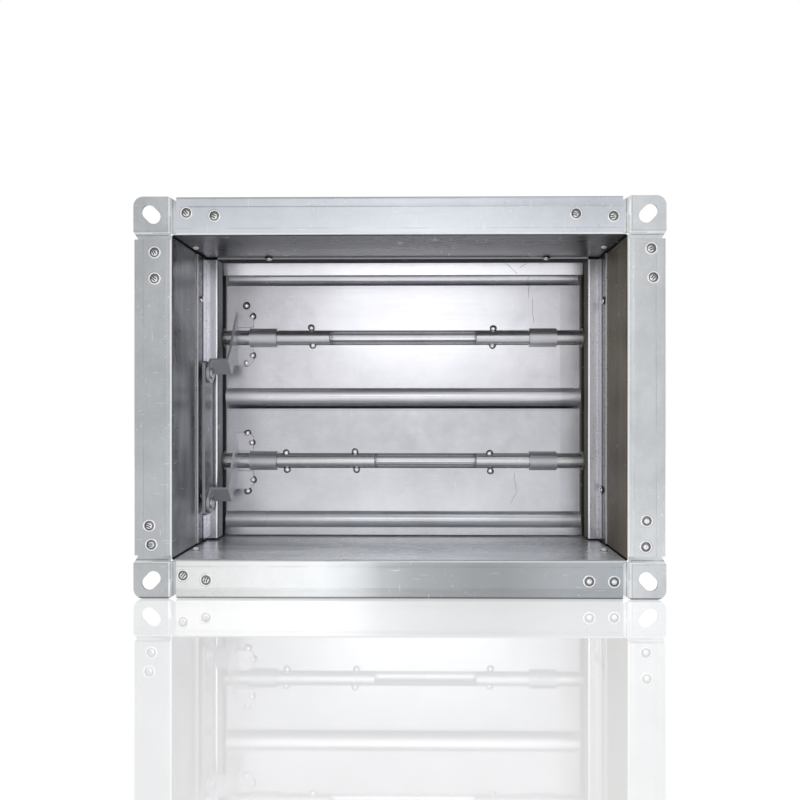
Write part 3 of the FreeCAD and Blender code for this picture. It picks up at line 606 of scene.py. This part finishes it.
# The top stop is painted lighter than the bottom one, as lit and shaded copies of one sheet
STOP_TOP = stop("zinc_stop_top", (0.82, 0.82, 0.88), (0.95, 0.95, 1.0))
STOP_BOTTOM = stop("zinc_stop_bottom", (0.46, 0.46, 0.49), (0.58, 0.58, 0.62))

# Looks of the plated steel
SHAFT = zinc(
    "drawn_shaft", (0.44, 0.45, 0.47), (0.68, 0.69, 0.71), (0.20, 0.30), 0.92, "X", 0.5, brushed=0.6
)
CRANK = zinc("plated_crank", (0.56, 0.56, 0.60), (0.72, 0.72, 0.77), (0.28, 0.38), 0.55, "Z", 0.3)
LINK = zinc("plated_link", (0.30, 0.31, 0.33), (0.52, 0.53, 0.56), (0.28, 0.42), 0.9, "Z", 0.6)
PIN = zinc("plated_pin", (0.42, 0.43, 0.45), (0.70, 0.71, 0.73), (0.20, 0.30), 0.95, "X", 0.2)
BUSH = zinc("bush_steel", (0.15, 0.14, 0.125), (0.26, 0.245, 0.225), (0.5, 0.6), 0.85, "X", 0.3)
# The clinches: their ring and dome painted lighter as lit, their recess and slots darker with painted
# shade
LIT_RING = zinc("pressed_ring", (0.76, 0.77, 0.78), (0.95, 0.95, 0.96), (0.20, 0.30), 0.8, "Z", 0.1)
# Seam rivet heads painted white as a highlight
RIVET_HIGHLIGHT = zinc("rivet_head", (0.96, 0.96, 0.97), (1.0, 1.0, 1.0), (0.22, 0.32), 0.1, "Z", 0.1)
SHADED_RECESS = zinc("pressed_recess", (0.13, 0.13, 0.135), (0.32, 0.32, 0.33), (0.24, 0.36), 0.9, "Z", 0.2)
WELD = weld_metal("weld_nugget", (0.55, 0.54, 0.53), (0.95, 0.95, 0.96), (0.14, 0.30))
# Dark rings of painted shade round the welds and the rivet heads
RING_SHADE = weld_metal("weld_ring_shade", (0.02, 0.02, 0.02), (0.10, 0.09, 0.09), (0.30, 0.45))


# Meshes, with the angles in degrees beyond which their edges stay sharp
SHEET_SHARP = 32
TURNED_SHARP = 50


def new_object(name, mesh, body, materials):
    obj = bpy.data.objects.new(name, mesh)
    bpy.context.scene.collection.objects.link(obj)
    for material in materials:
        mesh.materials.append(material)
    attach(obj, body)
    return obj


def shade(mesh, degrees):
    """Smooth shading, with sharp edges where faces meet at more than this angle."""
    mesh.shade_smooth()
    mesh.set_sharp_from_angle(angle=math.radians(degrees))


def apply_modifiers(obj):
    graph = bpy.context.evaluated_depsgraph_get()
    mesh = bpy.data.meshes.new_from_object(obj.evaluated_get(graph))
    obj.modifiers.clear()
    old = obj.data
    obj.data = mesh
    bpy.data.meshes.remove(old)


def clean_copy(node):
    """The CAD node's mesh as a closed mesh with its flat faces joined."""
    mesh = NODES[node].data.copy()
    mesh.materials.clear()
    shell = bmesh.new()
    shell.from_mesh(mesh)
    bmesh.ops.remove_doubles(shell, verts=shell.verts, dist=1e-6)
    bmesh.ops.dissolve_limit(shell, angle_limit=math.radians(0.5), verts=shell.verts, edges=shell.edges)
    shell.to_mesh(mesh)
    shell.free()
    return mesh


def dress(node, material, edge, cutter=None, bend=None):
    """A copy of the node with its sharp edges eased, shown in its place.

    edge is the width of the eased edge in mm, and cutter is what is cut out of the copy. bend
    moves the copy's points a little, for sheet that isn't quite square.
    """
    obj = new_object(f"look_{node}", clean_copy(node), BODY_OF[node], [material])
    if bend is not None:
        for vertex in obj.data.vertices:
            vertex.co = bend(vertex.co)
    if cutter is not None:
        cut = obj.modifiers.new("Cut", "BOOLEAN")
        cut.operation = "DIFFERENCE"
        cut.solver = "EXACT"
        cut.object = cutter
    if edge:
        bevel = obj.modifiers.new("Edge", "BEVEL")
        bevel.width = edge * MM
        bevel.segments = 2
        bevel.limit_method = "ANGLE"
        bevel.angle_limit = math.radians(40)
        bevel.use_clamp_overlap = True
        bevel.miter_outer = "MITER_ARC"
    bpy.context.view_layer.update()
    apply_modifiers(obj)
    shade(obj.data, SHEET_SHARP)
    weighted = obj.modifiers.new("Normals", "WEIGHTED_NORMAL")
    weighted.keep_sharp = True
    weighted.weight = 80
    bpy.context.view_layer.update()
    apply_modifiers(obj)
    obj.data.materials.clear()
    obj.data.materials.append(material)
    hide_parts(node)


def lathe(shell, profile, centre, axis, segments=32, squash=0.0):
    """Add a turned form: (radius, height along axis) in mm from rim to centre.

    A third number in the profile is the material of the band that starts there. squash is how
    far from round the form may be.
    """
    centre = Vector(centre) * MM
    turn = Vector((0, 0, 1)).rotation_difference(Vector(axis)).to_matrix()
    phase = random.uniform(0, math.tau)
    waves = [(random.uniform(-squash, squash), k, random.uniform(0, math.tau)) for k in (2, 3)]
    rings = []
    for radius, height, *_ in profile:
        if radius == 0:
            rings.append([shell.verts.new(centre + turn @ Vector((0, 0, height * MM)))])
            continue
        ring = []
        for i in range(segments):
            angle = math.tau * i / segments + phase
            swell = 1 + sum(a * math.cos(k * angle + p) for a, k, p in waves)
            across = Vector((math.cos(angle), math.sin(angle), 0)) * radius * swell
            ring.append(shell.verts.new(centre + turn @ ((across + Vector((0, 0, height))) * MM)))
        rings.append(ring)
    slots = [step[2] if len(step) > 2 else 0 for step in profile]
    for ring, after, slot in zip(rings, rings[1:], slots):
        for i in range(segments):
            j = (i + 1) % segments
            if len(ring) == 1:
                face = shell.faces.new((ring[0], after[j], after[i]))
            elif len(after) == 1:
                face = shell.faces.new((ring[i], ring[j], after[0]))
            else:
                face = shell.faces.new((ring[i], ring[j], after[j], after[i]))
            face.material_index = slot


def mesh_of(shell, name):
    """The mesh of a form built in bmesh, with its faces turned outwards."""
    bmesh.ops.recalc_face_normals(shell, faces=shell.faces)
    mesh = bpy.data.meshes.new(name)
    shell.to_mesh(mesh)
    shell.free()
    return mesh


def turned_pieces(name, spots, profile, body, materials, segments=32, squash=0.0):
    """One object with the same turned form at several (place, axis) spots."""
    shell = bmesh.new()
    for centre, axis in spots:
        lathe(shell, profile, centre, axis, segments, squash)
    mesh = mesh_of(shell, name)
    shade(mesh, TURNED_SHARP)
    new_object(name, mesh, body, materials)


# Clinches in mm: the drill for their holes, the ring, and for the pressed middle the floor and
# the slots' distance from its middle, half width, end and depth
CLINCH_DRILL = [(0, 2), (5.05, 2), (5.05, -3), (0, -3)]
# The ring's bands marked 1 are its recess, darkened with painted shade
CLINCH_RING = [
    (5.2, -0.5), (5.1, -0.3), (4.8, -0.04), (4.0, 0.0),
    (3.7, -0.1, 1), (3.4, -0.7, 1), (3.1, -1.15, 1), (0, -1.2, 1),
]
CLINCH_FLOOR = -1.25
SLOT_OFFSET = 0.8
SLOT_HALF_WIDTH = 0.42
SLOT_END = -1.3
SLOT_DEPTH = 0.75


def drill(name, spots):
    """The holes for the clinches, as one object that is cut out of the panel."""
    shell = bmesh.new()
    for centre, axis in spots:
        lathe(shell, CLINCH_DRILL, centre, axis)
    obj = bpy.data.objects.new(name, mesh_of(shell, name))
    bpy.context.scene.collection.objects.link(obj)
    return obj


def pressed_centre(shell, centre, axis, turn):
    """The pressed middle of a clinch: a low dome, off centre, on most clinches with two slots.

    turn is the direction of the slots. Each point is kept with the depth of the slot at it.
    """
    slotted = centre[0] < 0 or centre[2] > 0
    radius = 2.75 if slotted else 2.4
    shift = -0.35 if slotted else 0.25
    rings = 9
    segments = 30
    facing = Vector((0, 0, 1)).rotation_difference(Vector(axis)).to_matrix()
    middle = Vector(centre) * MM
    points = []
    for i in range(rings + 1):
        ring = []
        for j in range(segments):
            angle = math.tau * j / segments
            x = radius * i / rings * math.cos(angle)
            y = radius * i / rings * math.sin(angle)
            along = x * math.cos(turn) + y * math.sin(turn)
            across = y * math.cos(turn) - x * math.sin(turn)
            off_slot = abs(abs(across) - SLOT_OFFSET) / SLOT_HALF_WIDTH
            slot = max(0.0, 1 - off_slot ** 2) * (along > SLOT_END) * slotted
            dome = math.sqrt(max(0.0, 1 - (i / rings) ** 2.4))
            height = CLINCH_FLOOR + dome - SLOT_DEPTH * slot
            point = facing @ Vector((0, 0, height)) + Vector((x + shift, 0, y - 0.35))
            ring.append((shell.verts.new(middle + point * MM), slot))
        points.append(ring)
    for ring, outer in zip(points, points[1:]):
        for j in range(segments):
            after = (j + 1) % segments
            corners = [ring[j], outer[j], outer[after], ring[after]]
            face = shell.faces.new([vert for vert, _ in corners])
            # Faces in the slots are darkened with painted shade
            face.material_index = 1 if sum(slot for _, slot in corners) > 1.2 else 0


# Clinched joints of the corner legs: x and z on the front flange, uneven as pressed by hand
FRONT_TOP = [(-164.1, 142.5), (-142.4, 140.1), (136.0, 141.2), (164.7, 139.3)]
FRONT_BOTTOM = [(-166.6, -137.2), (-148.8, -140.7), (146.0, -141.1), (165.1, -141.4)]
FRONT_LEFT = [(-188.7, 112.1), (-188.7, 91.9), (-192.8, -98.8), (-191.2, -113.5)]
FRONT_RIGHT = [(193.5, 114.4), (195.1, 92.2), (190.0, -94.6), (189.3, -114.5)]
REAR_TOP = [(x, 140) for x in (-163, -142, 142, 163)]
REAR_LEFT = [(-190, z) for z in (113, 92, -92, -113)]

# Each panel's material, its clinches at the front and rear, and how its first slots are turned
PANELS = {
    "casing_top": (TOP, FRONT_TOP, REAR_TOP, 2.3),
    "casing_bottom": (BOTTOM, FRONT_BOTTOM, [(x, -z) for x, z in REAR_TOP], 0.9),
    "casing_left": (LEFT, FRONT_LEFT, REAR_LEFT, 2.1),
    "casing_right": (RIGHT, FRONT_RIGHT, [(-x, z) for x, z in REAR_LEFT], 0.4),
}
for node, (material, front, rear, turn) in PANELS.items():
    spots = [((x, -HALF_LENGTH, z), (0, -1, 0)) for x, z in front]
    spots += [((x, HALF_LENGTH, z), (0, 1, 0)) for x, z in rear]
    cutter = drill(f"drill_{node}", spots)
    dress(node, material, edge=0, cutter=cutter)
    bpy.data.objects.remove(cutter)
    turned_pieces(f"clinches_{node}", spots, CLINCH_RING, "casing", (LIT_RING, SHADED_RECESS))
    shell = bmesh.new()
    for number, (centre, axis) in enumerate(spots):
        pressed_centre(shell, centre, axis, turn + 0.35 * number)
    bmesh.ops.remove_doubles(shell, verts=shell.verts, dist=1e-6)
    mesh = mesh_of(shell, "centres")
    shade(mesh, TURNED_SHARP)
    new_object(f"clinch_centres_{node}", mesh, "casing", (LIT_RING, SHADED_RECESS))


# Legs of the stops: y of the front face in mm and its slope at the top and at the bottom, and
# how far the free edge is from the duct's middle, in mm
TOP_LEG = (-2.8, 0.10)
BOTTOM_LEG = (1.3, 0.07)
LEG_EDGE = 112.8


def lean_leg(point):
    """The front face of a stop's leg leans out a little towards its foot."""
    x, y, z = point
    front, slope = TOP_LEG if z > 0 else BOTTOM_LEG
    if abs(y / MM - front) < 0.1:
        y -= slope * (abs(z) - LEG_EDGE * MM)
    return x, y, z


for node in [n for n in NODES if n.startswith("corner_")]:
    dress(node, CORNER, edge=0.25)
dress("jamb_channel_left", JAMB_LEFT, edge=0.2)
dress("jamb_channel_right", JAMB_RIGHT, edge=0.2)
dress("blade_stop_top", STOP_TOP, edge=0.2, bend=lean_leg)
dress("blade_stop_bottom", STOP_BOTTOM, edge=0.2, bend=lean_leg)
dress("blade_upper", BLADE_UPPER, edge=0.15)
dress("blade_lower", BLADE_LOWER, edge=0.15)
for node in ("crank_upper", "crank_lower"):
    dress(node, CRANK, edge=0.3)
dress("link_bar", LINK, edge=0.35)
for node in ("shaft_upper_left", "shaft_upper_right", "drive_shaft", "shaft_lower_right"):
    dress(node, SHAFT, edge=0.1)
dress("shaft_bushes", BUSH, edge=0.15)
for node in ("pivot_pin_upper", "pivot_pin_lower"):
    dress(node, PIN, edge=0.5)

# Seam rivets: heads inside the duct, closed tails outside, through two sheets
# The heads are painted white as a highlight, with a dark ring of painted shade round them
SEAM_HEAD = [(3.2, -0.1, 1), (3.1, 0.2, 1), (2.6, 0.3), (2.5, 0.9), (2.1, 1.6), (1.2, 2.1), (0, 2.3)]
SEAM_TAIL = [(2.7, -0.2), (2.7, 0.5), (2.4, 0.8), (1.2, 0.95), (0.8, 0.6), (0, 0.55)]
SEAM_X = (-169.3, 167)
SEAM_Y = (-62, 62)
SEAM_THICKNESS = 2.4
heads = []
tails = []
for x in SEAM_X:
    for y in SEAM_Y:
        for up in (-1, 1):
            heads.append(((x, y, HALF_HEIGHT * up), (0, 0, -up)))
            tails.append(((x, y, (HALF_HEIGHT + SEAM_THICKNESS) * up), (0, 0, up)))
turned_pieces("seam_rivet_heads", heads, SEAM_HEAD, "casing", (RIVET_HIGHLIGHT, RING_SHADE))
turned_pieces("seam_rivet_tails", tails, SEAM_TAIL, "casing", (PIN,))

# Tack welds: a bright nugget with a dark ring of painted shade round its foot
NUGGET = [(3.5, -0.1, 1), (3.4, 0.25, 1), (2.7, 0.45), (2.5, 1.1), (1.9, 1.65), (1.0, 1.95), (0, 2.05)]
SMALL_NUGGET = [
    (3.3, -0.1, 1), (3.15, 0.3, 1), (2.5, 0.5), (2.3, 1.2), (1.7, 1.75), (0.9, 2.05), (0, 2.15),
]
WELD_SEGMENTS = 24


def welds(name, spots, profile, body, squash):
    turned_pieces(name, spots, profile, body, (WELD, RING_SHADE), WELD_SEGMENTS, squash)


# Welds of the side channels, in front of the blades and the same behind them
JAMB_FRONT = [(-173.8, -34.1, 86.1), (-173.8, -34.4, -84.0), (173.0, -36.8, 84.2), (173.0, -30.8, -78.8)]
places = JAMB_FRONT + [(x, -y, z) for x, y, z in JAMB_FRONT]
spots = [(place, (-math.copysign(1, place[0]), 0, 0)) for place in places]
welds("jamb_welds", spots, NUGGET, "casing", 0.05)

# Welds of the blade stops
places = [(-118.0, -21.3, 124.3), (127.0, -21.3, 124.3), (-120.0, 21.3, -124.3), (120.0, 21.3, -124.3)]
spots = [(place, (0, 0, -math.copysign(1, place[2]))) for place in places]
welds("stop_welds", spots, NUGGET, "casing", 0.05)

# Welds on each blade, x and z: those of the crank's tabs and those beside the shafts
TAB_FACE = -1.9
SHEET_FACE = -0.8
BLADE_WELDS = {
    "upper_blade": (
        [(-142.8, 85.5), (-137.3, 75.7), (-137.3, 40.0), (-142.8, 33.2)],
        [(-83.6, 65.3), (-82.3, 49.2), (82.2, 64.4), (81.5, 48.9)],
    ),
    "lower_blade": (
        [(-141.9, -31.0), (-138.0, -39.5), (-136.8, -73.4), (-141.6, -83.6)],
        [(-106.6, -48.9), (-105.8, -64.2), (-43.7, -47.9), (-42.3, -64.1), (78.9, -49.2), (79.6, -65.2)],
    ),
}
for body, (on_tabs, on_sheet) in BLADE_WELDS.items():
    spots = [((x, TAB_FACE, z), (0, -1, 0)) for x, z in on_tabs]
    spots += [((x, SHEET_FACE, z), (0, -1, 0)) for x, z in on_sheet]
    welds(f"blade_welds_{body}", spots, SMALL_NUGGET, body, 0.06)


# Stage: pale floor, white surroundings, soft lamps
FLOOR_LEVEL = -0.1552
FLOOR_REACH = 12.0
FLOOR_WHITE = 0.39


def floor_material():
    """Pale, slightly glossy floor that fades into the white behind it."""
    tree = Tree("pale_floor")
    tone = tree.mix(tree.noise(3, detail=2), (0.90, 0.90, 0.90), (0.94, 0.94, 0.94))
    tree.metallic = 0.3
    material = tree.finish(tone, 0.03, tree.bump(tree.noise(9), 0.02, 0.0003))
    tree.shader.inputs["IOR"].default_value = 2.2
    # The added white is seen by the camera, reflections and glass, and lights nothing else
    rays = tree.nodes.new("ShaderNodeLightPath").outputs
    seen = tree.either(rays["Is Camera Ray"], rays["Is Glossy Ray"])
    seen = tree.either(seen, rays["Is Transmission Ray"])
    tree.shader.inputs["Emission Color"].default_value = (1, 1, 1, 1)
    tree.link(tree.math("MULTIPLY", seen, FLOOR_WHITE), tree.shader.inputs["Emission Strength"])
    far = tree.both(seen, tree.outside(tree.blob((0, 0, 0), (2.2, 2.2, 2.2), 0.75)))
    white = tree.nodes.new("ShaderNodeEmission")
    blend = tree.nodes.new("ShaderNodeMixShader")
    tree.link(far, blend.inputs["Fac"])
    tree.link(tree.shader.outputs[0], blend.inputs[1])
    tree.link(white.outputs[0], blend.inputs[2])
    tree.link(blend.outputs[0], tree.nodes["Material Output"].inputs["Surface"])
    return material


signs = ((-1, -1), (1, -1), (1, 1), (-1, 1))
corners = [(FLOOR_REACH * x, FLOOR_REACH * y, FLOOR_LEVEL) for x, y in signs]
floor_mesh = bpy.data.meshes.new("floor")
floor_mesh.from_pydata(corners, [], [(0, 1, 2, 3)])
floor = bpy.data.objects.new("floor", floor_mesh)
bpy.context.scene.collection.objects.link(floor)
floor.data.materials.append(floor_material())


def studio_world():
    """White behind the object; for its light, white walls under a dimmer ceiling."""
    world = bpy.data.worlds.new("studio")
    bpy.context.scene.world = world
    world.use_nodes = True
    nodes = world.node_tree.nodes
    links = world.node_tree.links
    place = nodes.new("ShaderNodeTexCoord").outputs["Generated"]
    parts = nodes.new("ShaderNodeSeparateXYZ")
    links.new(place, parts.inputs[0])
    climb = nodes.new("ShaderNodeMapRange")
    climb.interpolation_type = "SMOOTHSTEP"
    links.new(parts.outputs["Z"], climb.inputs["Value"])
    for name, number in (("From Min", 0.15), ("From Max", 0.8), ("To Min", 0.88), ("To Max", 0.5)):
        climb.inputs[name].default_value = number
    seen = nodes.new("ShaderNodeLightPath").outputs["Is Camera Ray"]
    strength = nodes.new("ShaderNodeMath")
    strength.operation = "MAXIMUM"
    links.new(climb.outputs["Result"], strength.inputs[0])
    links.new(seen, strength.inputs[1])
    links.new(strength.outputs[0], nodes["Background"].inputs["Strength"])
    nodes["Background"].inputs["Color"].default_value = (1, 1, 1, 1)


studio_world()


def lamp(name, place, target, size, watts):
    light = bpy.data.lights.new(name, "AREA")
    light.shape = "RECTANGLE"
    light.size, light.size_y = size
    light.energy = watts
    obj = bpy.data.objects.new(name, light)
    bpy.context.scene.collection.objects.link(obj)
    obj.location = place
    obj.rotation_euler = (Vector(target) - Vector(place)).to_track_quat("-Z", "Y").to_euler()


lamp("front_softbox", place=(-0.01, -2.2, 0.45), target=(0, 0, 0.02), size=(0.75, 0.7), watts=2.2)
lamp("top_softbox", place=(0.5, -1.0, 1.5), target=(0, 0, 0), size=(1.2, 0.9), watts=2.0)

# Camera at the photograph's viewing angle, with its focal length and shifts in pixels
PHOTO_PIXELS = 800
FOCAL_PIXELS = 691.5
SHIFT_PIXELS = (-18.07, 8.8)
SENSOR_WIDTH = 36
camera_data = bpy.data.cameras.new("camera")
camera = bpy.data.objects.new("camera", camera_data)
bpy.context.scene.collection.objects.link(camera)
bpy.context.scene.camera = camera
camera_data.sensor_width = SENSOR_WIDTH
camera_data.lens = FOCAL_PIXELS / PHOTO_PIXELS * SENSOR_WIDTH
camera_data.clip_start = 0.01
camera.location = (0.0198, -0.6312, -0.0087)
camera.rotation_euler = (math.radians(90), 0, math.radians(0.55))
camera_data.shift_x = SHIFT_PIXELS[0] / PHOTO_PIXELS
camera_data.shift_y = SHIFT_PIXELS[1] / PHOTO_PIXELS

bpy.context.scene.view_settings.view_transform = "Standard"
